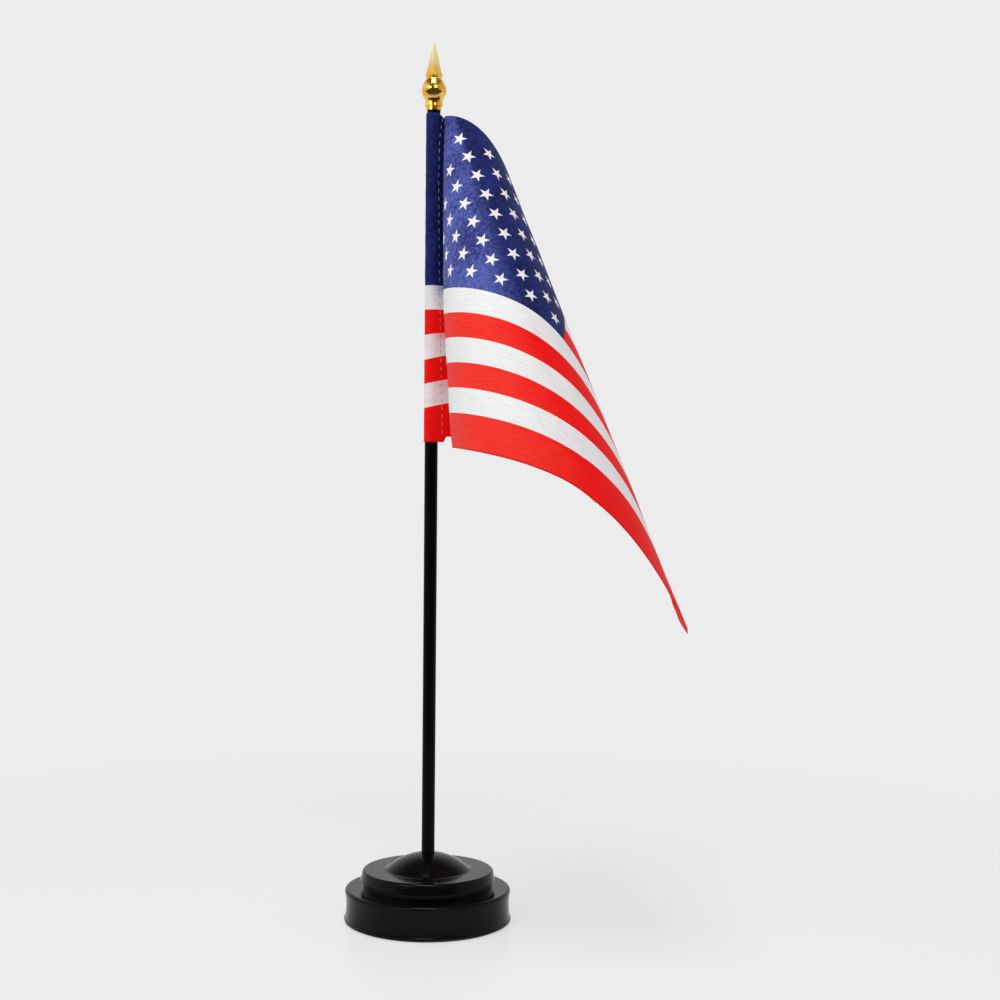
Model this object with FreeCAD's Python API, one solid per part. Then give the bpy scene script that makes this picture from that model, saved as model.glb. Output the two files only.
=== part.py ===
import FreeCAD, Part
import math
import os

# Desk flag stand: a small printed flag on a black staff, standing in a weighted two-tier base.
# Millimetres. +Z is up, +X is the side to which the flag flies, and the origin is on the staff's
# axis at the surface the stand rests on.

V = FreeCAD.Vector
UP = V(0, 0, 1)
ORIGIN = V(0, 0, 0)

# Staff and running fits
STAFF_RADIUS = 2.03
FIT_GAP = 0.05
BORE_RADIUS = STAFF_RADIUS + FIT_GAP
STAFF_CHAMFER = 0.3

# Base: heights from the resting surface
PAD_THICKNESS = 0.5
COVER_TOP = 1.6
LEDGE_TOP = 10.7
NECK_TOP = 13.1
CAP_TOP = 16.35
DOME_HEIGHT = 5.2
SOCKET_FLOOR = 5.6

# Base: radii
PAD_RADIUS = 24.6
COVER_RADIUS = 26.0
DRUM_FOOT_RADIUS = 25.7
DRUM_WAIST_RADIUS = 25.4
DRUM_TOP_RADIUS = 25.8
DRUM_WALL = 2.0
NECK_RADIUS = 20.1
SPIGOT_RADIUS = 17.0
CAP_SKIRT_RADIUS = 21.0
CAP_TOP_RADIUS = 20.5
CAP_WALL = 1.8
DOME_RADIUS = 13.2
DOME_FILLET = 2.0
BOSS_RADIUS = 4.4
EDGE_ROUND = 0.9

# Steel ring inside the drum
WEIGHT_INNER_RADIUS = 6.0
WEIGHT_OUTER_RADIUS = 21.6
WEIGHT_HEIGHT = 6.6
COVER_RING_HEIGHT = 1.8
SEAT_GAP = 0.1

# Flag: the cloth hangs from a straight seam beside the staff
HOIST = 101.6
PANEL_LENGTH = 147.0
CLOTH_THICKNESS = 0.5
SLEEVE_BOTTOM = 149.6
SLEEVE_HEIGHT = 101.0
SLEEVE_WALL = 0.25
SEAM_X = 3.4
SEAM_Y = 0.8
PANEL_DROP = 1.5

# The hem of the lower edge has come open near the fly: from HEM_START the cloth reaches lower,
# by HEM_DROP at HEM_PEAK, and from there it narrows again to the corner
HEM_START = 86.0
HEM_PEAK = 139.0
HEM_DROP = 6.5

# Towards its foot the seam leans out from the staff, and the cloth beside it goes with it
SEAM_LEAN = 5.0
LEAN_POWER = 2.4
LEAN_REACH = 50.0

# Drape of the panel. Straight fold lines fan out from the top corner at the seam. The line at
# spread u, from 0 to 1, starts FAN_TOP * u along the top edge and ends FAN_FOOT * u**FAN_POWER
# along the bottom edge. Up to that line the cloth has turned by the cubic with the
# coefficients FAN_TURN, in degrees. From there to FAN_SPREAD, out at the top corner of the fly,
# it turns evenly by FAN_CURL degrees for each unit of spread.
FAN_LINES = 100
FAN_SPREAD = 1.25
FAN_CURL = -65.0
FAN_TOP = 38.0
FAN_FOOT = 151.0
FAN_POWER = 0.455
FAN_TURN = (556.0, -664.0, 295.0)
LEAVING_ANGLE = 94.7
PANEL_STEPS = 24
HOIST_STEPS = 8

# Stitches that close the sleeve
STITCH_PITCH = 2.5
STITCH_LENGTH = 1.5
STITCH_RADIUS = 0.12
STITCH_MARGIN = 2.0

# Finial: heights above its own lower edge, and radii
FINIAL_GAP = 1.0
COLLAR_RADIUS = 2.35
COLLAR_HEIGHT = 1.1
FERRULE_RADIUS = 2.9
FERRULE_HEIGHT = 3.5
BALL_RADIUS = 3.85
BALL_CENTRE = 6.3
BALL_HALF_HEIGHT = 2.9
FINIAL_NECK_RADIUS = 2.7
FINIAL_GROOVE_RADIUS = 2.35
FINIAL_NECK_HEIGHT = 10.5
SPEAR_HALF_WIDTH = 2.7
SPEAR_TIP = 20.9
FINIAL_BORE_DEPTH = 5.4


def turned(outline):
    """Solid of revolution about Z. Each entry is a point (r, z), or an arc from the point before:
    (middle, end)."""
    edges = []
    last = outline[0]
    for entry in outline[1:] + outline[:1]:
        if isinstance(entry[0], tuple):
            middle, end = entry
            curve = Part.Arc(at(last), at(middle), at(end))
        else:
            end = entry
            curve = Part.LineSegment(at(last), at(end))
        edges.append(curve.toShape())
        last = end
    face = Part.Face(Part.Wire(edges))
    return face.revolve(ORIGIN, UP, 360)


def at(point):
    return V(point[0], 0, point[1])


def rounded(corner, before, after, radius):
    """Quarter-round entry for turned(): from a point above or beside a square corner."""
    start = (corner[0] + before[0] * radius, corner[1] + before[1] * radius)
    end = (corner[0] + after[0] * radius, corner[1] + after[1] * radius)
    pull = 1 - math.sqrt(0.5)
    middle = (
        corner[0] + (before[0] + after[0]) * radius * pull,
        corner[1] + (before[1] + after[1]) * radius * pull,
    )
    return start, (middle, end)


def foot_pad():
    return Part.makeCylinder(PAD_RADIUS, PAD_THICKNESS)


def bottom_cover():
    ring_outer = DRUM_FOOT_RADIUS - DRUM_WALL - SEAT_GAP
    ring_inner = WEIGHT_OUTER_RADIUS + SEAT_GAP
    lip = 0.4
    start, corner = rounded((COVER_RADIUS, PAD_THICKNESS), (-1, 0), (0, 1), lip)
    return turned([
        (0, PAD_THICKNESS),
        start,
        corner,
        (COVER_RADIUS, COVER_TOP - 0.2),
        (COVER_RADIUS - 0.3, COVER_TOP),
        (ring_outer, COVER_TOP),
        (ring_outer, COVER_TOP + COVER_RING_HEIGHT),
        (ring_inner, COVER_TOP + COVER_RING_HEIGHT),
        (ring_inner, COVER_TOP),
        (0, COVER_TOP),
    ])


def base_weight():
    bottom = COVER_TOP
    outer = Part.makeCylinder(WEIGHT_OUTER_RADIUS, WEIGHT_HEIGHT, V(0, 0, bottom))
    hole = Part.makeCylinder(WEIGHT_INNER_RADIUS, WEIGHT_HEIGHT, V(0, 0, bottom))
    return outer.cut(hole)


def base_lower_tier():
    """Hollow drum with a waisted wall, a ledge, and a neck and spigot for the cap."""
    inner = DRUM_FOOT_RADIUS - DRUM_WALL
    under_ledge = LEDGE_TOP - DRUM_WALL
    neck_inner = SPIGOT_RADIUS - DRUM_WALL
    spigot_top = NECK_TOP + 1.2
    hole = BOSS_RADIUS + SEAT_GAP
    rim_start, rim = rounded((DRUM_TOP_RADIUS, LEDGE_TOP), (0, -1), (-1, 0), EDGE_ROUND)
    waist = (COVER_TOP + LEDGE_TOP) / 2
    return turned([
        (inner, COVER_TOP),
        (DRUM_FOOT_RADIUS, COVER_TOP),
        ((DRUM_WAIST_RADIUS, waist), rim_start),
        rim,
        (NECK_RADIUS, LEDGE_TOP),
        (NECK_RADIUS, NECK_TOP),
        (SPIGOT_RADIUS, NECK_TOP),
        (SPIGOT_RADIUS, spigot_top),
        (neck_inner, spigot_top),
        (neck_inner, NECK_TOP),
        (hole, NECK_TOP),
        (hole, NECK_TOP - DRUM_WALL),
        (neck_inner, NECK_TOP - DRUM_WALL),
        (neck_inner, under_ledge),
        (inner, under_ledge),
    ])


def base_upper_tier():
    """Cap with a flared skirt, a rounded rim, a low dome that rises from the flat in a fillet, and
    the blind socket for the staff."""
    rim_start, rim = rounded((CAP_TOP_RADIUS, CAP_TOP), (0, -1), (-1, 0), EDGE_ROUND)
    sphere = (DOME_RADIUS ** 2 + DOME_HEIGHT ** 2) / (2 * DOME_HEIGHT)
    dome_centre = CAP_TOP + DOME_HEIGHT - sphere
    mouth = BORE_RADIUS + 0.15
    fillet_centre = CAP_TOP + DOME_FILLET
    fillet_reach = math.sqrt((sphere + DOME_FILLET) ** 2 - (fillet_centre - dome_centre) ** 2)
    fillet_end = math.atan2(dome_centre - fillet_centre, -fillet_reach)

    def on_dome(radius, thickness=0.0):
        return radius, dome_centre + math.sqrt((sphere - thickness) ** 2 - radius ** 2)

    def on_fillet(angle):
        across = fillet_reach + DOME_FILLET * math.cos(angle)
        return across, fillet_centre + DOME_FILLET * math.sin(angle)

    skirt_inner = SPIGOT_RADIUS + SEAT_GAP
    under = CAP_TOP - CAP_WALL
    dome_inner = DOME_RADIUS - CAP_WALL
    inner_foot = on_dome(dome_inner, CAP_WALL)
    boss_top = on_dome(BOSS_RADIUS, CAP_WALL)
    floor = SOCKET_FLOOR - 1.0
    return turned([
        (0, floor),
        (BOSS_RADIUS, floor),
        boss_top,
        (on_dome((BOSS_RADIUS + dome_inner) / 2, CAP_WALL), inner_foot),
        (dome_inner + (inner_foot[1] - under), under),
        (skirt_inner, under),
        (skirt_inner, NECK_TOP),
        (CAP_SKIRT_RADIUS - 0.2, NECK_TOP),
        (CAP_SKIRT_RADIUS, NECK_TOP + 0.2),
        rim_start,
        rim,
        on_fillet(-math.pi / 2),
        (on_fillet((fillet_end - math.pi / 2) / 2), on_fillet(fillet_end)),
        (on_dome((on_fillet(fillet_end)[0] + mouth) / 2), on_dome(mouth)),
        (BORE_RADIUS, on_dome(mouth)[1] - 0.15),
        (BORE_RADIUS, SOCKET_FLOOR),
        (0, SOCKET_FLOOR),
    ])


def finial_bottom():
    return SLEEVE_BOTTOM + SLEEVE_HEIGHT + FINIAL_GAP


def staff_top():
    return finial_bottom() + FINIAL_BORE_DEPTH


def pole():
    top = staff_top()
    return turned([
        (0, SOCKET_FLOOR),
        (STAFF_RADIUS - STAFF_CHAMFER, SOCKET_FLOOR),
        (STAFF_RADIUS, SOCKET_FLOOR + STAFF_CHAMFER),
        (STAFF_RADIUS, top - STAFF_CHAMFER),
        (STAFF_RADIUS - STAFF_CHAMFER, top),
        (0, top),
    ])


def spear_finial():
    """Collar, ferrule, ball and grooved neck, under a four-sided spear with concave sides."""
    z = finial_bottom()
    ball_foot = z + FERRULE_HEIGHT
    ball_crown = z + BALL_CENTRE + BALL_HALF_HEIGHT
    spear_foot = z + FINIAL_NECK_HEIGHT
    groove = (ball_crown + spear_foot) / 2
    bore_top = z + FINIAL_BORE_DEPTH
    lower_ball = (BALL_RADIUS - 0.25, z + BALL_CENTRE - 0.5 * BALL_HALF_HEIGHT)
    upper_ball = (BALL_RADIUS - 0.35, z + BALL_CENTRE + 0.5 * BALL_HALF_HEIGHT)
    turned_part = turned([
        (BORE_RADIUS, z),
        (COLLAR_RADIUS, z),
        (COLLAR_RADIUS, z + COLLAR_HEIGHT),
        (FERRULE_RADIUS - 0.1, z + COLLAR_HEIGHT + 0.15),
        ((FERRULE_RADIUS - 0.2, (z + COLLAR_HEIGHT + ball_foot) / 2), (FERRULE_RADIUS, ball_foot)),
        (lower_ball, (BALL_RADIUS, z + BALL_CENTRE)),
        (upper_ball, (FINIAL_NECK_RADIUS, ball_crown)),
        ((FINIAL_GROOVE_RADIUS, groove), (FINIAL_NECK_RADIUS, spear_foot)),
        (0, spear_foot),
        (0, bore_top + 1.0),
        (BORE_RADIUS, bore_top),
    ])
    return turned_part.fuse(spear(spear_foot)).removeSplitter()


def spear(bottom):
    """Four-sided spear, its corners forward, back, left and right."""
    height = finial_bottom() + SPEAR_TIP - bottom
    sections = []
    for share, width in ((0.0, 1.0), (0.12, 0.84), (0.3, 0.67), (0.65, 0.42), (1.0, 0.05)):
        half = SPEAR_HALF_WIDTH * width
        level = bottom + height * share
        corners = [V(half, 0, level), V(0, half, level), V(-half, 0, level), V(0, -half, level)]
        sections.append(Part.makePolygon(corners + corners[:1]))
    return Part.makeLoft(sections, True, True)


def fan_fold(spread):
    top = FAN_TOP * spread
    foot = FAN_FOOT * spread ** FAN_POWER
    drape = min(spread, 1.0)
    first, second, third = FAN_TURN
    turn = first * drape + second * drape ** 2 + third * drape ** 3
    return top, foot, turn + FAN_CURL * (spread - drape)


def fan_frames():
    """The fold lines, and the placement of the flat cloth after each of them."""
    seam_top = V(SEAM_X, SEAM_Y, SLEEVE_BOTTOM + HOIST - PANEL_DROP)
    frame = FreeCAD.Placement(seam_top, FreeCAD.Rotation(UP, -LEAVING_ANGLE))
    lines = []
    frames = [frame]
    turned_so_far = 0.0
    for line in range(FAN_LINES):
        top, foot, _ = fan_fold(FAN_SPREAD * (line + 0.5) / FAN_LINES)
        turn = fan_fold(FAN_SPREAD * (line + 1.0) / FAN_LINES)[2]
        axis = V(foot - top, 0, -HOIST)
        step = FreeCAD.Rotation(axis, turned_so_far - turn)
        pivot = V(top, 0, 0)
        frame = frame.multiply(FreeCAD.Placement(pivot - step.multVec(pivot), step))
        turned_so_far = turn
        lines.append((top, foot))
        frames.append(frame)
    return lines, frames


def seam_lean(down):
    return SEAM_LEAN * (down / HOIST) ** LEAN_POWER


def lower_edge(along):
    """Distance from the top edge of the panel to its lower edge."""
    rising = (along - HEM_START) / (HEM_PEAK - HEM_START)
    falling = (PANEL_LENGTH - along) / (PANEL_LENGTH - HEM_PEAK)
    return HOIST + HEM_DROP * max(0.0, min(rising, falling))


def on_panel(lines, frames, along, down):
    """Point of one face of the draped panel that lies flat at (along, down)."""
    passed = sum(1 for top, foot in lines if along > top + (foot - top) * down / HOIST)
    lean = seam_lean(down) * math.exp(-(along / LEAN_REACH) ** 4)
    return frames[passed].multVec(V(along, -CLOTH_THICKNESS / 2, -down)) + V(lean, 0, 0)


def flag_cloth():
    """The hanging panel: one closed sheet, bent but not stretched."""
    lines, frames = fan_frames()
    rows = []
    for column in range(PANEL_STEPS + 1):
        along = PANEL_LENGTH * (column / PANEL_STEPS) ** 1.5
        row = [
            on_panel(lines, frames, along, lower_edge(along) * step / HOIST_STEPS)
            for step in range(HOIST_STEPS + 1)
        ]
        rows.append(row)
    surface = Part.BSplineSurface()
    surface.interpolate(rows)
    return surface.toShape().makeOffsetShape(CLOTH_THICKNESS, 0.001, fill=True)


def flag_sleeve():
    """Hem of the flag: a tube round the staff, with the two plies of the seam beside it."""
    bottom = V(0, 0, SLEEVE_BOTTOM)
    outer_radius = BORE_RADIUS + SLEEVE_WALL
    tube = Part.makeCylinder(outer_radius, SLEEVE_HEIGHT, bottom)
    near = SEAM_Y - SLEEVE_WALL
    outline = [V(0, near, SLEEVE_BOTTOM)]
    for step in range(HOIST_STEPS + 1):
        down = HOIST * (1 - step / HOIST_STEPS)
        level = SLEEVE_BOTTOM + SLEEVE_HEIGHT * step / HOIST_STEPS
        outline.append(V(SEAM_X + seam_lean(down), near, level))
    outline.append(V(0, near, SLEEVE_BOTTOM + SLEEVE_HEIGHT))
    seam = Part.Face(Part.makePolygon(outline + outline[:1])).extrude(V(0, 2 * SLEEVE_WALL, 0))
    hole = Part.makeCylinder(BORE_RADIUS, SLEEVE_HEIGHT, bottom)
    return tube.fuse(seam).cut(hole).removeSplitter()


def sleeve_stitching():
    """The row of separate stitches on the near side of the seam."""
    count = int((SLEEVE_HEIGHT - 2 * STITCH_MARGIN) / STITCH_PITCH) + 1
    stitches = []
    for number in range(count):
        level = SLEEVE_BOTTOM + STITCH_MARGIN + number * STITCH_PITCH
        foot = V(SEAM_X - 0.5, SEAM_Y - SLEEVE_WALL - STITCH_RADIUS, level)
        stitches.append(Part.makeCylinder(STITCH_RADIUS, STITCH_LENGTH, foot))
    return Part.makeCompound(stitches)


PARTS = {
    "foot_pad": foot_pad,
    "bottom_cover": bottom_cover,
    "base_weight": base_weight,
    "base_lower_tier": base_lower_tier,
    "base_upper_tier": base_upper_tier,
    "pole": pole,
    "spear_finial": spear_finial,
    "flag_cloth": flag_cloth,
    "flag_sleeve": flag_sleeve,
    "sleeve_stitching": sleeve_stitching,
}

os.makedirs("parts", exist_ok=True)
for name, build in PARTS.items():
    shape = build()
    if not shape.isValid():
        raise ValueError(name + " is not a valid shape")
    shape.exportStep("parts/" + name + ".step")
    box = shape.optimalBoundingBox()
    print(f"{name:18s} solids {len(shape.Solids):3d} volume {shape.Volume:10.2f} "
          f"x {box.XMin:.1f}..{box.XMax:.1f} y {box.YMin:.1f}..{box.YMax:.1f} "
          f"z {box.ZMin:.1f}..{box.ZMax:.1f}")
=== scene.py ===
import math
import random

import bpy
from mathutils import Matrix, Vector, noise


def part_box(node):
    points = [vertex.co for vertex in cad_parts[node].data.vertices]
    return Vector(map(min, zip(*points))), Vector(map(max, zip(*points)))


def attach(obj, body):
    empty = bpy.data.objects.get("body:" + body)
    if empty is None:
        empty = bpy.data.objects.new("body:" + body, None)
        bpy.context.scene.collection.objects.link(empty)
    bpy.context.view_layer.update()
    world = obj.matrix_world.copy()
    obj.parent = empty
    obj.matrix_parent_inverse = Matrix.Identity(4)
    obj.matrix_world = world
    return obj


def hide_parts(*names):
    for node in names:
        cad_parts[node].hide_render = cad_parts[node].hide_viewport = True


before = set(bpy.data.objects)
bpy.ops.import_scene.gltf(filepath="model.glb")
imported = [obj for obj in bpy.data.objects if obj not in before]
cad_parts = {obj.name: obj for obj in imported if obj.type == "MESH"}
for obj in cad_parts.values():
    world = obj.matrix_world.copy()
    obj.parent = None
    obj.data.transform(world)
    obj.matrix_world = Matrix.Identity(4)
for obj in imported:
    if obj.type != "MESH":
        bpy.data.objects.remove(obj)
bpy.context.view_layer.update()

# Metres, in the frame of the CAD model: +Z up along the staff, +X to the side the flag flies to.
MM = 0.001
random.seed(7)

pole_low, pole_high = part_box("pole")
sleeve_low, sleeve_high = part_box("flag_sleeve")
finial_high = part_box("spear_finial")[1]

# Flag: the cut of the cloth, and the seam that it hangs from
HOIST = 101.6 * MM
PANEL_LENGTH = 147.0 * MM
CLOTH_THICKNESS = 0.2 * MM
SLEEVE_THICKNESS = 0.2 * MM
SEAM_X = 3.4 * MM
SEAM_Y = 0.8 * MM
PANEL_DROP = 1.5 * MM
SEAM_TOP = sleeve_low.z + HOIST - PANEL_DROP
SEAM_LEAN = 5.0 * MM
LEAN_POWER = 2.4
LEAN_REACH = 50.0 * MM
HEM_START = 86.0 * MM
HEM_PEAK = 139.0 * MM
HEM_DROP = 6.5 * MM

# Drape: straight fold lines that fan out from the top of the seam, as in the CAD model. Where it
# folds back, beyond spread 1, the cloth turns once by FOLD_TURN, instead of curling evenly.
FAN_LINES = 100
FAN_SPREAD = 1.25
FOLD_TURN = math.radians(-14.2)
FOLD_SPREAD = 0.02
FAN_TOP = 38.0 * MM
FAN_FOOT = 151.0 * MM
FAN_POWER = 0.455
FAN_TURN = (math.radians(556), math.radians(-664), math.radians(295))
LEAVING_ANGLE = math.radians(94.7)
NET_STEPS = 48
NET_ROWS = 16
NET_CROWDING = 1.5
PUCKER_REACH = 9 * MM
PUCKER_HEIGHT = 0.12 * MM
WAVE_LENGTH = 26 * MM
WAVE_WIDTH = 17 * MM
WAVE_HEIGHT = 0.3 * MM
PANEL_COLUMNS = 240
PANEL_ROWS = 150

# Print, in millimetres on the flat cloth: distance from the seam, and distance down the hoist. The
# panel hangs two plies deep where the first over the second, plus FOLD_OFFSET, is past FOLD_SLOPE.
TOP_MARGIN = 2.1
STRIPE = 7.43
LAST_STRIPE = 12
CANTON_STRIPES = 7
STAR_ROW = CANTON_STRIPES * STRIPE / 10
STAR_COLUMN = 5.12
FIRST_STAR = 11.05
CANTON_END = FIRST_STAR + 11 * STAR_COLUMN
STAR_RADIUS = 2.4
PRINT_BLUR = 0.06
THREAD_SPACING = 0.36
FOLD_OFFSET = 8.0
FOLD_SLOPE = (0.72, 0.98)

# Sleeve: a hem that goes once round the staff, and its seam
STAFF_RADIUS = (pole_high.x - pole_low.x) / 2
SLEEVE_RADIUS = STAFF_RADIUS + 0.18 * MM
SLEEVE_STEPS = 72
SLEEVE_ROWS = 150
SLEEVE_PRINT_TOP = sleeve_low.z + 102.35 * MM
SLEEVE_SKEW = 0.23
SKEW_REACH = (60 * MM, 76 * MM)
SLEEVE_END = 6 * MM
FOOT_LIFT = 1.7 * MM
FOOT_LIFT_REACH = (3.7 * MM, 4.6 * MM)
TOP_DROP = 1.3 * MM
TOP_DROP_REACH = (1.2 * MM, 3.4 * MM)
RUMPLE = 0.09 * MM
RUMPLE_WIDTH = 2.2 * MM
RUMPLE_LENGTH = 3.5 * MM
STITCH_PITCH = 2.5 * MM
STITCH_LENGTH = 1.45 * MM
STITCH_UNEVENNESS = (0.93, 1.07)
STITCH_PROUD = 0.16 * MM
STITCH_DIP = 0.02 * MM
STITCH_FACING = Vector((0.3, -0.95, 0))
FIRST_STITCH = 1.2 * MM
LAST_STITCH = 1.0 * MM
LINE_START = 1.45 * MM
LINE_DRIFT = 2.0 * MM
LINE_HOOK = 1.7 * MM
THREAD_RADIUS = 0.08 * MM
FRAY_THREADS = 28
FRAY_REACH = (92.5 * MM, 96.5 * MM)
FRAY_FALL = (0.35, 1.0)
FRAY_SIDEWAYS = (-0.7, 0.3)
FRAY_FORWARD = (-0.4, 0.3)
FRAY_RADIUS = 0.06 * MM

# Print on one ply, and on two plies the same print painted deeper as shade, where less light comes
# through: deep and full red, deep and pale blue, deep and full white
SINGLE_INKS = (
    (0.86, 0.028, 0.018, 1.0), (0.98, 0.034, 0.022, 1.0), (0.026, 0.032, 0.17, 1.0),
    (0.11, 0.145, 0.5, 1.0), (0.83, 0.84, 0.84, 1.0), (0.91, 0.92, 0.91, 1.0),
)
# Painted shade: the same print made darker where two plies let less light through.
TWO_PLY_PAINTED_SHADE_INKS = (
    (0.82, 0.002, 0.001, 1.0), (0.96, 0.004, 0.002, 1.0), (0.003, 0.005, 0.045, 1.0),
    (0.013, 0.024, 0.18, 1.0), (0.8, 0.76, 0.78, 1.0), (0.89, 0.86, 0.87, 1.0),
)

# Studio: fades are shares of a direction for the surroundings, and metres for the table
BACKGROUND = (0.838, 0.838, 0.846, 1.0)
FRONT = (0.05, 0.05, 0.052, 1.0)
RIGHT = (0.7, 0.7, 0.71, 1.0)
CEILING = (0.16, 0.16, 0.165, 1.0)
RIGHT_FADE = (0.2, 0.9)
FRONT_FADE = (-0.45, -0.8)
CEILING_FADE = (0.5, 0.85)
FLOOR_SIZE = 4.0
FLOOR_FADE = (0.14, 0.34)
FLOOR_GLOW = 0.72
FLOOR_FRONT_FADE = (-0.1, -0.35)
LENS = 64.8
SENSOR_WIDTH = 36.0
EYE = (21.47 * MM, -558.1 * MM, 151.9 * MM)
EYE_PITCH = math.radians(90 - 2.06)
EYE_ROLL = math.radians(0.53)


def plug(tree, socket, value):
    if isinstance(value, bpy.types.NodeSocket):
        tree.links.new(value, socket)
    else:
        socket.default_value = value


def calc(tree, operation, *values):
    node = tree.nodes.new("ShaderNodeMath")
    node.operation = operation
    for socket, value in zip(node.inputs, values):
        plug(tree, socket, value)
    return node.outputs[0]


def ramp(tree, value, low, high, to_low=0.0, to_high=1.0):
    node = tree.nodes.new("ShaderNodeMapRange")
    node.interpolation_type = "SMOOTHSTEP"
    for socket, entry in zip(node.inputs, (value, low, high, to_low, to_high)):
        plug(tree, socket, entry)
    return node.outputs[0]


def blend(tree, factor, first, second):
    node = tree.nodes.new("ShaderNodeMix")
    node.data_type = "RGBA"
    plug(tree, node.inputs["Factor"], factor)
    plug(tree, node.inputs[6], first)
    plug(tree, node.inputs[7], second)
    return node.outputs[2]


def stretched(tree, vector, scale):
    node = tree.nodes.new("ShaderNodeMapping")
    plug(tree, node.inputs["Vector"], vector)
    node.inputs["Scale"].default_value = scale
    return node.outputs[0]


def speckle(tree, vector, scale, detail=2.0, roughness=0.5):
    node = tree.nodes.new("ShaderNodeTexNoise")
    plug(tree, node.inputs["Vector"], vector)
    node.inputs["Scale"].default_value = scale
    node.inputs["Detail"].default_value = detail
    node.inputs["Roughness"].default_value = roughness
    return node.outputs["Fac"]


def bump(tree, shader, height, distance, strength=1.0):
    node = tree.nodes.new("ShaderNodeBump")
    node.inputs["Distance"].default_value = distance
    node.inputs["Strength"].default_value = strength
    plug(tree, node.inputs["Height"], height)
    tree.links.new(node.outputs[0], shader.inputs["Normal"])


def new_material(name):
    material = bpy.data.materials.new(name)
    material.use_nodes = True
    tree = material.node_tree
    return material, tree, tree.nodes["Principled BSDF"]


def place_in_space(tree):
    return tree.nodes.new("ShaderNodeTexCoord").outputs["Object"]


def star_lattice(tree, along, down, first, last_column, last_row):
    """Stars at every second row and column, from (first, first) on: 1 inside a star, else 0."""
    column = calc(tree, "DIVIDE", calc(tree, "SUBTRACT", along, FIRST_STAR - STAR_COLUMN), STAR_COLUMN)
    row = calc(tree, "DIVIDE", calc(tree, "SUBTRACT", down, TOP_MARGIN), STAR_ROW)
    offsets = []
    inside = []
    for position, last, pitch in ((column, last_column, STAR_COLUMN), (row, last_row, STAR_ROW)):
        turns = calc(tree, "DIVIDE", calc(tree, "SUBTRACT", position, float(first)), 2.0)
        whole = calc(tree, "ROUND", turns)
        offset = calc(tree, "MULTIPLY", calc(tree, "SUBTRACT", turns, whole), 2 * pitch)
        offsets.append(offset)
        inside.append(calc(tree, "GREATER_THAN", turns, -0.5))
        inside.append(calc(tree, "LESS_THAN", turns, (last - first) / 2 + 0.5))
    across, below = offsets
    above = calc(tree, "MULTIPLY", below, -1.0)
    radius = calc(tree, "SQRT", calc(tree, "ADD", calc(tree, "POWER", across, 2.0),
                                     calc(tree, "POWER", above, 2.0)))
    angle = calc(tree, "ARCTAN2", across, above)
    point = math.radians(72)
    folded = calc(tree, "ABSOLUTE", calc(tree, "WRAP", angle, point / 2, -point / 2))
    reach = calc(tree, "MULTIPLY", radius, calc(tree, "COSINE", calc(tree, "SUBTRACT", folded, point)))
    edge = STAR_RADIUS * math.cos(point)
    star = ramp(tree, reach, edge + PRINT_BLUR, edge - PRINT_BLUR)
    for condition in inside:
        star = calc(tree, "MULTIPLY", star, condition)
    return star


def print_masks(tree, along, down):
    """Where the print is red, blue and starred, from flat coordinates in millimetres."""
    number = calc(tree, "FLOOR", calc(tree, "DIVIDE", calc(tree, "SUBTRACT", down, TOP_MARGIN), STRIPE))
    number = calc(tree, "MAXIMUM", calc(tree, "MINIMUM", number, float(LAST_STRIPE)), 0.0)
    red = calc(tree, "SUBTRACT", 1.0, calc(tree, "MODULO", number, 2.0))
    canton_foot = TOP_MARGIN + CANTON_STRIPES * STRIPE
    blue = calc(tree, "MULTIPLY", calc(tree, "LESS_THAN", along, CANTON_END),
                calc(tree, "LESS_THAN", down, canton_foot))
    stars = calc(tree, "ADD", star_lattice(tree, along, down, 1, 11, 9),
                 star_lattice(tree, along, down, 2, 10, 8))
    return red, blue, stars


def dyed(tree, inks_and_ply_shade, mottle, weft, masks):
    """The print in one set of colours, the two-ply set being painted deeper as shade: mottled blue, and
    red and white streaked along the threads.
    """
    red, blue, stars = masks
    red_deep, red_full, blue_deep, blue_pale, white_deep, white_full = inks_and_ply_shade
    streak = ramp(tree, weft, 0.35, 0.65)
    red_dye = blend(tree, streak, red_deep, red_full)
    blue_dye = blend(tree, ramp(tree, mottle, 0.36, 0.64), blue_deep, blue_pale)
    white_dye = blend(tree, streak, white_deep, white_full)
    striped = blend(tree, red, white_dye, red_dye)
    colour = blend(tree, blue, striped, blue_dye)
    return blend(tree, calc(tree, "MULTIPLY", blue, stars), colour, white_dye)


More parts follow.
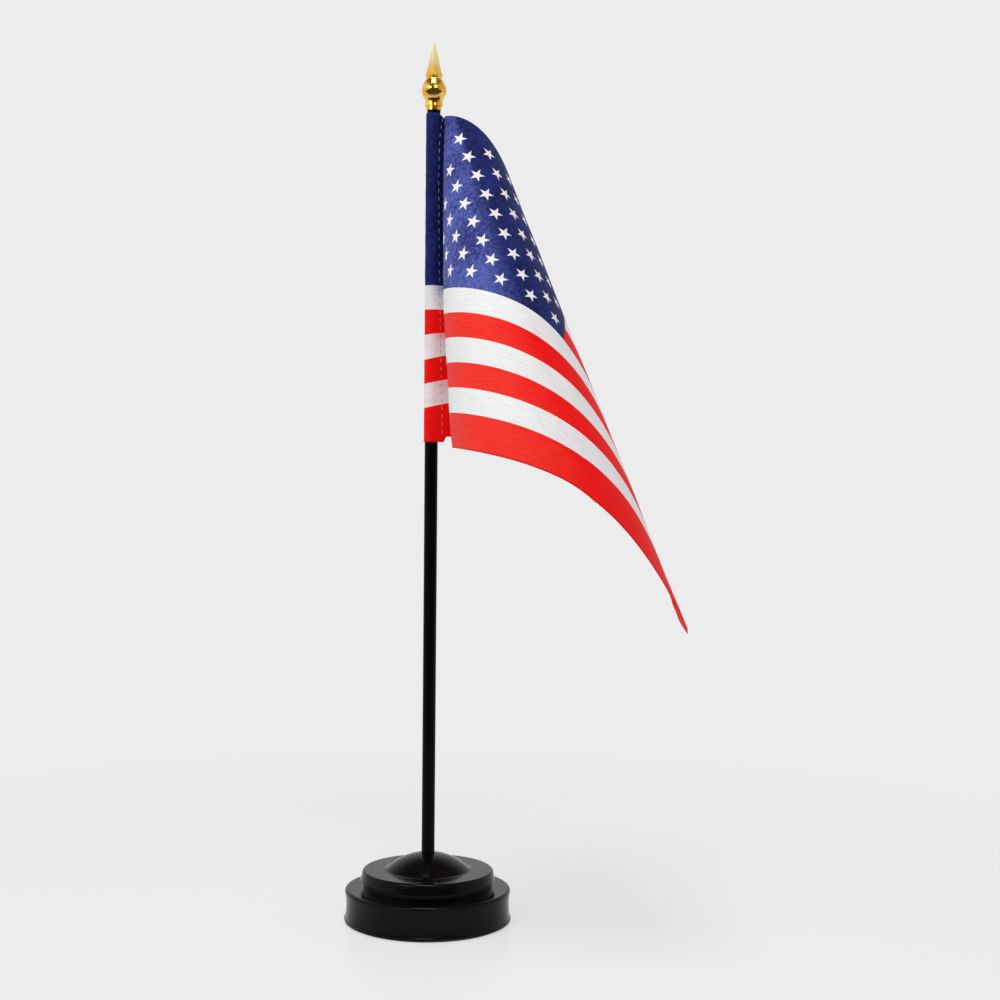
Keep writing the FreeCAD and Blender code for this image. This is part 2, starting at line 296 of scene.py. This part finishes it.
def flag_material(name, folds):
    """Printed plain-weave polyester: the print, the threads, and uneven dye along them. Two plies
    let less light through, so the hem, and the panel where it folds back, are painted deeper as shade."""
    material, tree, shader = new_material(name)
    split = tree.nodes.new("ShaderNodeSeparateXYZ")
    tree.links.new(tree.nodes.new("ShaderNodeTexCoord").outputs["UV"], split.inputs[0])
    to_mm = HOIST / MM
    along = calc(tree, "MULTIPLY", split.outputs["X"], to_mm)
    down = calc(tree, "MULTIPLY", split.outputs["Y"], to_mm)
    flat = tree.nodes.new("ShaderNodeCombineXYZ")
    plug(tree, flat.inputs[0], along)
    plug(tree, flat.inputs[1], down)
    flat = flat.outputs[0]

    weft = speckle(tree, stretched(tree, flat, (0.16, 2.6, 1.0)), 1.0, 3.0)
    warp = speckle(tree, stretched(tree, flat, (2.6, 0.22, 1.0)), 1.0, 3.0)
    mottle = speckle(tree, flat, 0.8, 4.0, 0.7)
    broad = speckle(tree, flat, 0.09, 2.0)
    masks = print_masks(tree, along, down)
    tone = calc(tree, "ADD", calc(tree, "MULTIPLY", mottle, 0.65), calc(tree, "MULTIPLY", broad, 0.35))
    colour = dyed(tree, TWO_PLY_PAINTED_SHADE_INKS, tone, weft, masks)
    if folds:
        # Painted shade: where the fold lies cloth behind cloth, the colour blends to the darker two-ply
        # set.
        slope = calc(tree, "DIVIDE", along, calc(tree, "ADD", down, FOLD_OFFSET))
        two_ply_shade_mask = ramp(tree, calc(tree, "ADD", slope, calc(tree, "MULTIPLY", broad, 0.2)), *FOLD_SLOPE)
        colour = blend(tree, two_ply_shade_mask, dyed(tree, SINGLE_INKS, tone, weft, masks), colour)
    tree.links.new(colour, shader.inputs["Base Color"])

    thread = math.pi / THREAD_SPACING
    threads = calc(tree, "MULTIPLY", calc(tree, "SINE", calc(tree, "MULTIPLY", along, thread)),
                   calc(tree, "SINE", calc(tree, "MULTIPLY", down, thread)))
    uneven = calc(tree, "ADD", calc(tree, "MULTIPLY", weft, 0.8), calc(tree, "MULTIPLY", warp, 0.6))
    height = calc(tree, "ADD", calc(tree, "MULTIPLY", threads, 0.35), uneven)
    bump(tree, shader, height, 0.06 * MM, 0.6)
    shader.inputs["Roughness"].default_value = 0.78
    shader.inputs["Specular IOR Level"].default_value = 0.12
    shader.inputs["Sheen Weight"].default_value = 0.04
    shader.inputs["Sheen Roughness"].default_value = 0.5
    return material


def base_material():
    """Glossy black moulding, with a faint flow pattern and fine handling marks."""
    material, tree, shader = new_material("gloss_black_moulding")
    place = place_in_space(tree)
    flow = speckle(tree, place, 90.0, 3.0)
    grain = speckle(tree, place, 1600.0, 2.0)
    marks = speckle(tree, stretched(tree, place, (900.0, 120.0, 900.0)), 1.0, 2.0)
    tint = ramp(tree, flow, 0.3, 0.7)
    colour = blend(tree, tint, (0.0014, 0.0015, 0.0016, 1.0), (0.0034, 0.0034, 0.0036, 1.0))
    tree.links.new(colour, shader.inputs["Base Color"])
    tree.links.new(ramp(tree, marks, 0.35, 0.75, 0.1, 0.22), shader.inputs["Roughness"])
    bump(tree, shader, calc(tree, "ADD", grain, calc(tree, "MULTIPLY", flow, 0.6)), 0.02 * MM, 0.5)
    shader.inputs["Specular IOR Level"].default_value = 0.1
    return material


def staff_material():
    """Drawn black rod: semi-gloss, with fine streaks along its length."""
    material, tree, shader = new_material("semi_gloss_black_rod")
    place = place_in_space(tree)
    streaks = speckle(tree, stretched(tree, place, (2600.0, 2600.0, 30.0)), 1.0, 2.0)
    tint = ramp(tree, streaks, 0.3, 0.7)
    colour = blend(tree, tint, (0.0012, 0.0013, 0.0014, 1.0), (0.003, 0.003, 0.0033, 1.0))
    tree.links.new(colour, shader.inputs["Base Color"])
    tree.links.new(ramp(tree, streaks, 0.3, 0.7, 0.25, 0.38), shader.inputs["Roughness"])
    bump(tree, shader, streaks, 0.02 * MM, 0.4)
    shader.inputs["Specular IOR Level"].default_value = 0.05
    return material


def gold_material():
    """Metallised gold: bright, slightly wavy, paler where it is worn, and paler towards the tip as
    painted highlight.
    """
    material, tree, shader = new_material("metallised_gold")
    place = place_in_space(tree)
    wear = speckle(tree, place, 420.0, 3.0)
    ripple = speckle(tree, place, 900.0, 2.0)
    colour = blend(tree, ramp(tree, wear, 0.4, 0.7), (0.86, 0.44, 0.05, 1.0), (1.0, 0.7, 0.16, 1.0))
    split = tree.nodes.new("ShaderNodeSeparateXYZ")
    tree.links.new(place, split.inputs[0])
    # Painted highlight: from the neck up the spear blends to pale gold, standing in for the bright
    # reflection towards its tip.
    neck = finial_high.z - 11 * MM
    pale = ramp(tree, split.outputs["Z"], neck, neck + 9 * MM)
    colour = blend(tree, pale, colour, (1.0, 0.92, 0.5, 1.0))
    tree.links.new(colour, shader.inputs["Base Color"])
    tree.links.new(ramp(tree, wear, 0.3, 0.75, 0.1, 0.22), shader.inputs["Roughness"])
    bump(tree, shader, ripple, 0.015 * MM, 0.4)
    shader.inputs["Metallic"].default_value = 1.0
    return material


def steel_material():
    material, tree, shader = new_material("plain_steel")
    place = place_in_space(tree)
    scale = speckle(tree, place, 260.0, 4.0)
    colour = blend(tree, scale, (0.16, 0.15, 0.14, 1.0), (0.34, 0.33, 0.32, 1.0))
    tree.links.new(colour, shader.inputs["Base Color"])
    tree.links.new(ramp(tree, scale, 0.3, 0.7, 0.35, 0.6), shader.inputs["Roughness"])
    shader.inputs["Metallic"].default_value = 1.0
    return material


def felt_material():
    """Pressed felt: matted fibres with a soft nap."""
    material, tree, shader = new_material("pressed_felt")
    place = place_in_space(tree)
    fibres = speckle(tree, place, 1500.0, 6.0, 0.7)
    tint = ramp(tree, fibres, 0.35, 0.65)
    colour = blend(tree, tint, (0.012, 0.013, 0.013, 1.0), (0.04, 0.042, 0.042, 1.0))
    tree.links.new(colour, shader.inputs["Base Color"])
    bump(tree, shader, fibres, 0.15 * MM)
    shader.inputs["Roughness"].default_value = 0.95
    shader.inputs["Sheen Weight"].default_value = 0.4
    return material


def thread_material(name, colour):
    """Twisted sewing thread."""
    material, tree, shader = new_material(name)
    place = place_in_space(tree)
    twist = speckle(tree, stretched(tree, place, (4000.0, 4000.0, 1500.0)), 1.0, 2.0)
    darker = tuple(channel * 0.7 for channel in colour[:3]) + (1.0,)
    tree.links.new(blend(tree, ramp(tree, twist, 0.3, 0.7), darker, colour), shader.inputs["Base Color"])
    bump(tree, shader, twist, 0.03 * MM)
    shader.inputs["Roughness"].default_value = 0.6
    return material


def floor_material():
    """Pale satin table, lit from within so that shadows are faint. It melts into the background some
    way from the stand, and in front it gives no light, so that the gloss stays dark there."""
    material, tree, shader = new_material("pale_table")
    place = place_in_space(tree)
    cloudy = speckle(tree, place, 6.0, 2.0)
    colour = blend(tree, cloudy, (0.87, 0.87, 0.87, 1.0), (0.9, 0.9, 0.89, 1.0))
    tree.links.new(colour, shader.inputs["Base Color"])
    shader.inputs["Roughness"].default_value = 0.3
    shader.inputs["Specular IOR Level"].default_value = 0.3
    split = tree.nodes.new("ShaderNodeSeparateXYZ")
    tree.links.new(place, split.inputs[0])
    away = calc(tree, "SQRT", calc(tree, "ADD", calc(tree, "POWER", split.outputs["X"], 2.0),
                                   calc(tree, "POWER", split.outputs["Y"], 2.0)))
    seen = tree.nodes.new("ShaderNodeLightPath").outputs["Is Camera Ray"]
    unseen = calc(tree, "SUBTRACT", 1.0, seen)
    ahead = calc(tree, "MULTIPLY", ramp(tree, split.outputs["Y"], *FLOOR_FRONT_FADE), unseen)
    glow = tree.nodes.new("ShaderNodeEmission")
    tree.links.new(blend(tree, ahead, BACKGROUND, FRONT), glow.inputs["Color"])
    mix = tree.nodes.new("ShaderNodeMixShader")
    tree.links.new(ramp(tree, away, *FLOOR_FADE, FLOOR_GLOW, 1.0), mix.inputs[0])
    tree.links.new(shader.outputs[0], mix.inputs[1])
    tree.links.new(glow.outputs[0], mix.inputs[2])
    tree.links.new(mix.outputs[0], tree.nodes["Material Output"].inputs["Surface"])
    return material


def mesh_piece(name, points, faces, materials, body, flat_points=None):
    mesh = bpy.data.meshes.new(name)
    mesh.from_pydata(points, [], faces)
    for material in materials:
        mesh.materials.append(material)
    if flat_points:
        layer = mesh.uv_layers.new(name="flat")
        for loop in mesh.loops:
            along, down = flat_points[loop.vertex_index]
            layer.data[loop.index].uv = (along / HOIST, down / HOIST)
    mesh.polygons.foreach_set("use_smooth", [True] * len(mesh.polygons))
    mesh.update()
    piece = bpy.data.objects.new(name, mesh)
    bpy.context.scene.collection.objects.link(piece)
    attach(piece, body)
    return piece


def grid_faces(columns, rows):
    """Faces of a grid whose points are listed column by column."""
    faces = []
    for column in range(columns - 1):
        for row in range(rows - 1):
            corner = column * rows + row
            faces.append((corner, corner + 1, corner + rows + 1, corner + rows))
    return faces


def fan_fold(spread):
    top = FAN_TOP * spread
    foot = FAN_FOOT * spread ** FAN_POWER
    drape = min(spread, 1.0)
    first, second, third = FAN_TURN
    turn = first * drape + second * drape ** 2 + third * drape ** 3
    return top, foot, turn + FOLD_TURN * min((spread - drape) / FOLD_SPREAD, 1.0)


def fan_frames():
    """The fold lines, and the placement of the flat cloth after each of them."""
    seam_top = Matrix.Translation((SEAM_X, SEAM_Y, SEAM_TOP))
    placement = seam_top @ Matrix.Rotation(-LEAVING_ANGLE, 4, "Z")
    lines = []
    placements = [placement]
    turned = 0.0
    for line in range(FAN_LINES):
        top, foot, _ = fan_fold(FAN_SPREAD * (line + 0.5) / FAN_LINES)
        turn = fan_fold(FAN_SPREAD * (line + 1.0) / FAN_LINES)[2]
        pivot = Matrix.Translation((top, 0, 0))
        step = Matrix.Rotation(turned - turn, 4, Vector((foot - top, 0, -HOIST)))
        placement = placement @ pivot @ step @ pivot.inverted()
        turned = turn
        lines.append((top, foot))
        placements.append(placement)
    return lines, placements


def seam_lean(down):
    return SEAM_LEAN * max(down / HOIST, 0.0) ** LEAN_POWER


def lower_edge(along):
    """Distance from the top edge of the panel to its lower edge, whose hem is open near the fly."""
    rising = (along - HEM_START) / (HEM_PEAK - HEM_START)
    falling = (PANEL_LENGTH - along) / (PANEL_LENGTH - HEM_PEAK)
    return HOIST + HEM_DROP * max(0.0, min(rising, falling))


def draped_net():
    """Rows of points of the draped cloth, twice as close together as those of the CAD surface."""
    lines, placements = fan_frames()
    net = []
    for step in range(NET_ROWS + 1):
        row = []
        for column in range(NET_STEPS + 1):
            along = PANEL_LENGTH * (column / NET_STEPS) ** NET_CROWDING
            down = lower_edge(along) * step / NET_ROWS
            passed = sum(1 for top, foot in lines if along > top + (foot - top) * down / HOIST)
            point = placements[passed] @ Vector((along, 0, -down))
            point.x += seam_lean(down) * math.exp(-(along / LEAN_REACH) ** 4)
            row.append(point)
        net.append(row)
    return net


def through(points, share):
    """Point at a share of the way along a smooth curve through all the given points."""
    place = share * (len(points) - 1)
    index = min(int(place), len(points) - 2)
    t = place - index
    start, end = points[index], points[index + 1]
    before = points[index - 1] if index else 2 * start - end
    after = points[index + 2] if index + 2 < len(points) else 2 * end - start
    bend = 2 * before - 5 * start + 4 * end - after
    twist = 3 * start - before - 3 * end + after
    return start + 0.5 * t * ((end - before) + t * (bend + t * twist))


def cloth_ripple(along, down):
    """Small unevenness of the cloth, square to its surface: puckers at the seam, soft waves beyond."""
    at_seam = math.exp(-along / PUCKER_REACH)
    pucker = PUCKER_HEIGHT * at_seam * math.sin(2 * math.pi * down / STITCH_PITCH)
    waves = noise.noise(Vector((along / WAVE_LENGTH, down / WAVE_WIDTH, 3.1)))
    return pucker + WAVE_HEIGHT * waves * (1 - at_seam)


def draped_columns():
    """Points of the draped cloth from its top edge to its lower edge, column by column."""
    net = draped_net()
    columns = []
    for column in range(PANEL_COLUMNS):
        share = column / (PANEL_COLUMNS - 1)
        spine = [through(row, share) for row in net]
        columns.append([through(spine, row / (PANEL_ROWS - 1)) for row in range(PANEL_ROWS)])
    return columns


def flag_panel(columns, material):
    points = []
    flat_points = []
    for column, line in enumerate(columns):
        along = PANEL_LENGTH * (column / (PANEL_COLUMNS - 1)) ** NET_CROWDING
        before = columns[max(column - 1, 0)]
        after = columns[min(column + 1, PANEL_COLUMNS - 1)]
        for row, point in enumerate(line):
            down = lower_edge(along) * row / (PANEL_ROWS - 1)
            downwards = line[min(row + 1, PANEL_ROWS - 1)] - line[max(row - 1, 0)]
            normal = (after[row] - before[row]).cross(downwards).normalized()
            points.append(point + normal * cloth_ripple(along, down))
            flat_points.append((along, down))
    faces = grid_faces(PANEL_COLUMNS, PANEL_ROWS)
    panel = mesh_piece("flag_panel", points, faces, [material], "flag", flat_points)
    thicken(panel, CLOTH_THICKNESS)
    return panel


def thicken(piece, thickness):
    solid = piece.modifiers.new("thickness", "SOLIDIFY")
    solid.thickness = thickness
    solid.offset = 0.0


def seam_point(level):
    return Vector((SEAM_X + seam_lean(SEAM_TOP - level), SEAM_Y))


def sleeve_section(level):
    """Points round the sleeve at one height: from the seam across the near side of the staff,
    round it, and back to the seam on the far side."""
    seam = seam_point(level)
    reach = math.acos(SLEEVE_RADIUS / seam.length)
    towards = math.atan2(seam.y, seam.x)
    near, far = towards - reach, towards + reach - 2 * math.pi
    straight = seam.length * math.sin(reach)
    curved = SLEEVE_RADIUS * (near - far)
    section = []
    for step in range(SLEEVE_STEPS + 1):
        distance = (2 * straight + curved) * step / SLEEVE_STEPS
        if distance < straight:
            touch = SLEEVE_RADIUS * Vector((math.cos(near), math.sin(near)))
            spot = seam.lerp(touch, distance / straight)
        elif distance <= straight + curved:
            angle = near - (distance - straight) / SLEEVE_RADIUS
            spot = SLEEVE_RADIUS * Vector((math.cos(angle), math.sin(angle)))
        else:
            touch = SLEEVE_RADIUS * Vector((math.cos(far), math.sin(far)))
            spot = touch.lerp(seam, (distance - straight - curved) / straight)
        section.append((spot, distance))
    return section


def smooth_rise(value, low, high):
    share = min(max((value - low) / (high - low), 0.0), 1.0)
    return share * share * (3 - 2 * share)


def flag_sleeve(material):
    points = []
    flat_points = []
    height = sleeve_high.z - sleeve_low.z
    for row in range(SLEEVE_ROWS):
        level = sleeve_low.z + height * row / (SLEEVE_ROWS - 1)
        near_foot = 1 - smooth_rise(level, sleeve_low.z, sleeve_low.z + SLEEVE_END)
        near_top = smooth_rise(level, sleeve_high.z - SLEEVE_END, sleeve_high.z)
        for spot, distance in sleeve_section(level):
            lift = FOOT_LIFT * near_foot * smooth_rise(spot.x, *FOOT_LIFT_REACH)
            lift -= TOP_DROP * near_top * smooth_rise(spot.x, *TOP_DROP_REACH)
            place = Vector((spot.x / RUMPLE_WIDTH, spot.y / RUMPLE_WIDTH, level / RUMPLE_LENGTH))
            out = spot.normalized() * RUMPLE * (noise.noise(place) + 0.4)
            points.append((spot.x + out.x, spot.y + out.y, level + lift))
            down = SLEEVE_PRINT_TOP - level - lift
            skew = SLEEVE_SKEW * smooth_rise(down, *SKEW_REACH)
            flat_points.append((-distance, down + skew * (spot.x - 0.5 * MM)))
    faces = grid_faces(SLEEVE_ROWS, SLEEVE_STEPS + 1)
    sleeve = mesh_piece("flag_sleeve_cloth", points, faces, [material], "flag", flat_points)
    thicken(sleeve, SLEEVE_THICKNESS)
    return sleeve


def near_side(across, level):
    """Point of the sleeve's near side that is the given distance to the right of the staff's axis."""
    section = [spot for spot, _ in sleeve_section(level) if spot.y < SEAM_Y]
    spot = min(section, key=lambda candidate: abs(candidate.x - across) - candidate.y * 0.01)
    return Vector((across, spot.y, level))


def stitch_line(level):
    """Distance of the stitches from the staff's axis: the sewn line wanders."""
    share = (sleeve_high.z - level) / (sleeve_high.z - sleeve_low.z)
    return LINE_START + LINE_DRIFT * share ** 1.5 + LINE_HOOK * math.exp(-share * 18)


def tube(path, radius, sides=8):
    """Points and faces of a closed thin tube along a path, tapering to its two ends."""
    points = []
    faces = []
    count = len(path)
    for index, centre in enumerate(path):
        direction = (path[min(index + 1, count - 1)] - path[max(index - 1, 0)]).normalized()
        side = direction.orthogonal().normalized()
        other = direction.cross(side)
        end = index in (0, count - 1)
        width = radius * (0.45 if end else 1.0)
        for corner in range(sides):
            angle = 2 * math.pi * corner / sides
            points.append(centre + width * (math.cos(angle) * side + math.sin(angle) * other))
    for index in range(count - 1):
        for corner in range(sides):
            first = index * sides + corner
            second = index * sides + (corner + 1) % sides
            faces.append((first, second, second + sides, first + sides))
    faces.append(tuple(reversed(range(sides))))
    faces.append(tuple(range((count - 1) * sides, count * sides)))
    return points, faces


def joined_tubes(paths, radius):
    points = []
    faces = []
    for path in paths:
        tube_points, tube_faces = tube(path, radius)
        start = len(points)
        points += tube_points
        faces += [tuple(start + corner for corner in face) for face in tube_faces]
    return points, faces


def stitching(material):
    """Separate stitches, each dipping into the cloth at its ends."""
    paths = []
    level = sleeve_high.z - FIRST_STITCH
    while level - STITCH_LENGTH > sleeve_low.z + LAST_STITCH:
        path = []
        for step in range(7):
            share = step / 6
            here = level - STITCH_LENGTH * share
            proud = STITCH_PROUD * math.sin(math.pi * share) - STITCH_DIP
            surface = near_side(stitch_line(here), here)
            path.append(surface + STITCH_FACING * (SLEEVE_THICKNESS / 2 + proud))
        paths.append(path)
        level -= STITCH_PITCH * random.uniform(*STITCH_UNEVENNESS)
    points, faces = joined_tubes(paths, THREAD_RADIUS)
    return mesh_piece("seam_stitches", points, faces, [material], "flag")


def frayed_threads(columns, material):
    """A small tuft of loose threads on the lower edge, where the hem has come open."""
    paths = []
    for _ in range(FRAY_THREADS):
        along = random.uniform(*FRAY_REACH)
        share = (along / PANEL_LENGTH) ** (1 / NET_CROWDING)
        root = columns[round(share * (PANEL_COLUMNS - 1))][-2]
        fall = random.uniform(*FRAY_FALL) * MM
        drift = Vector((random.uniform(*FRAY_SIDEWAYS), random.uniform(*FRAY_FORWARD), 0)) * MM
        path = []
        for step in range(6):
            share = step / 5
            path.append(root + drift * share ** 1.5 + Vector((0, 0, -fall * share)))
        paths.append(path)
    points, faces = joined_tubes(paths, FRAY_RADIUS)
    return mesh_piece("frayed_threads", points, faces, [material], "flag")


def aim(thing, target):
    direction = Vector(target) - thing.location
    thing.rotation_euler = direction.to_track_quat("-Z", "Y").to_euler()


def soft_light(name, place, target, size, power):
    light = bpy.data.lights.new(name, "AREA")
    light.shape = "RECTANGLE"
    light.size, light.size_y = size
    light.energy = power
    lamp = bpy.data.objects.new(name, light)
    bpy.context.scene.collection.objects.link(lamp)
    lamp.location = place
    aim(lamp, target)


def surroundings():
    """Pale studio all round, dimmer on the right, and dark overhead and in front, where the camera
    stands. The camera itself sees the pale colour everywhere."""
    world = bpy.data.worlds.new("studio")
    bpy.context.scene.world = world
    world.use_nodes = True
    tree = world.node_tree
    background = tree.nodes["Background"]
    direction = tree.nodes.new("ShaderNodeTexCoord").outputs["Generated"]
    split = tree.nodes.new("ShaderNodeSeparateXYZ")
    tree.links.new(direction, split.inputs[0])
    seen = tree.nodes.new("ShaderNodeLightPath").outputs["Is Camera Ray"]
    unseen = calc(tree, "SUBTRACT", 1.0, seen)
    on_right = calc(tree, "MULTIPLY", ramp(tree, split.outputs["X"], *RIGHT_FADE), unseen)
    in_front = calc(tree, "MULTIPLY", ramp(tree, split.outputs["Y"], *FRONT_FADE), unseen)
    overhead = calc(tree, "MULTIPLY", ramp(tree, split.outputs["Z"], *CEILING_FADE), unseen)
    colour = blend(tree, on_right, BACKGROUND, RIGHT)
    colour = blend(tree, overhead, colour, CEILING)
    colour = blend(tree, in_front, colour, FRONT)
    tree.links.new(colour, background.inputs["Color"])
    background.inputs["Strength"].default_value = 1.0


def floor():
    size = FLOOR_SIZE
    corners = [(-size, -size, 0), (size, -size, 0), (size, size, 0), (-size, size, 0)]
    mesh = bpy.data.meshes.new("table")
    mesh.from_pydata(corners, [], [(0, 1, 2, 3)])
    mesh.materials.append(floor_material())
    table = bpy.data.objects.new("table", mesh)
    bpy.context.scene.collection.objects.link(table)


def camera():
    data = bpy.data.cameras.new("camera")
    data.lens = LENS
    data.sensor_width = SENSOR_WIDTH
    data.clip_start = 0.01
    eye = bpy.data.objects.new("camera", data)
    bpy.context.scene.collection.objects.link(eye)
    pitch = Matrix.Rotation(EYE_PITCH, 4, "X")
    roll = Matrix.Rotation(EYE_ROLL, 4, "Z")
    eye.matrix_world = Matrix.Translation(EYE) @ pitch @ roll
    bpy.context.scene.camera = eye


def give(node, material):
    node_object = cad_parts[node]
    node_object.data.materials.clear()
    node_object.data.materials.append(material)


bpy.context.scene.view_settings.view_transform = "Standard"
camera()
surroundings()
floor()
soft_light("key", (-0.6, -0.75, 0.55), (0, 0, 0.15), (0.5, 0.5), 2.85)
soft_light("fill", (0.3, -0.85, 0.7), (0, 0, 0.1), (0.5, 0.5), 1.4)
soft_light("top", (-0.03, -0.26, 0.96), (0, 0, 0), (0.35, 0.35), 4.4)

plastic = base_material()
for tier in ("base_lower_tier", "base_upper_tier", "bottom_cover"):
    give(tier, plastic)
give("base_weight", steel_material())
give("foot_pad", felt_material())
give("pole", staff_material())
give("spear_finial", gold_material())

# Painted shade: both cloths are painted deeper where two plies lie together, the hem all over and the
# panel where it folds back.
open_cloth = flag_material("printed_flag_cloth_fold_shade", True)
hem_cloth_painted_shade = flag_material("printed_hem_cloth_painted_shade", False)
columns = draped_columns()
panel = flag_panel(columns, open_cloth)
sleeve = flag_sleeve(hem_cloth_painted_shade)
stitches = stitching(thread_material("pale_thread", (0.46, 0.42, 0.6, 1.0)))
fray = frayed_threads(columns, thread_material("red_weft_thread", (0.9, 0.04, 0.03, 1.0)))
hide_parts("flag_cloth")
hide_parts("flag_sleeve")
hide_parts("sleeve_stitching")
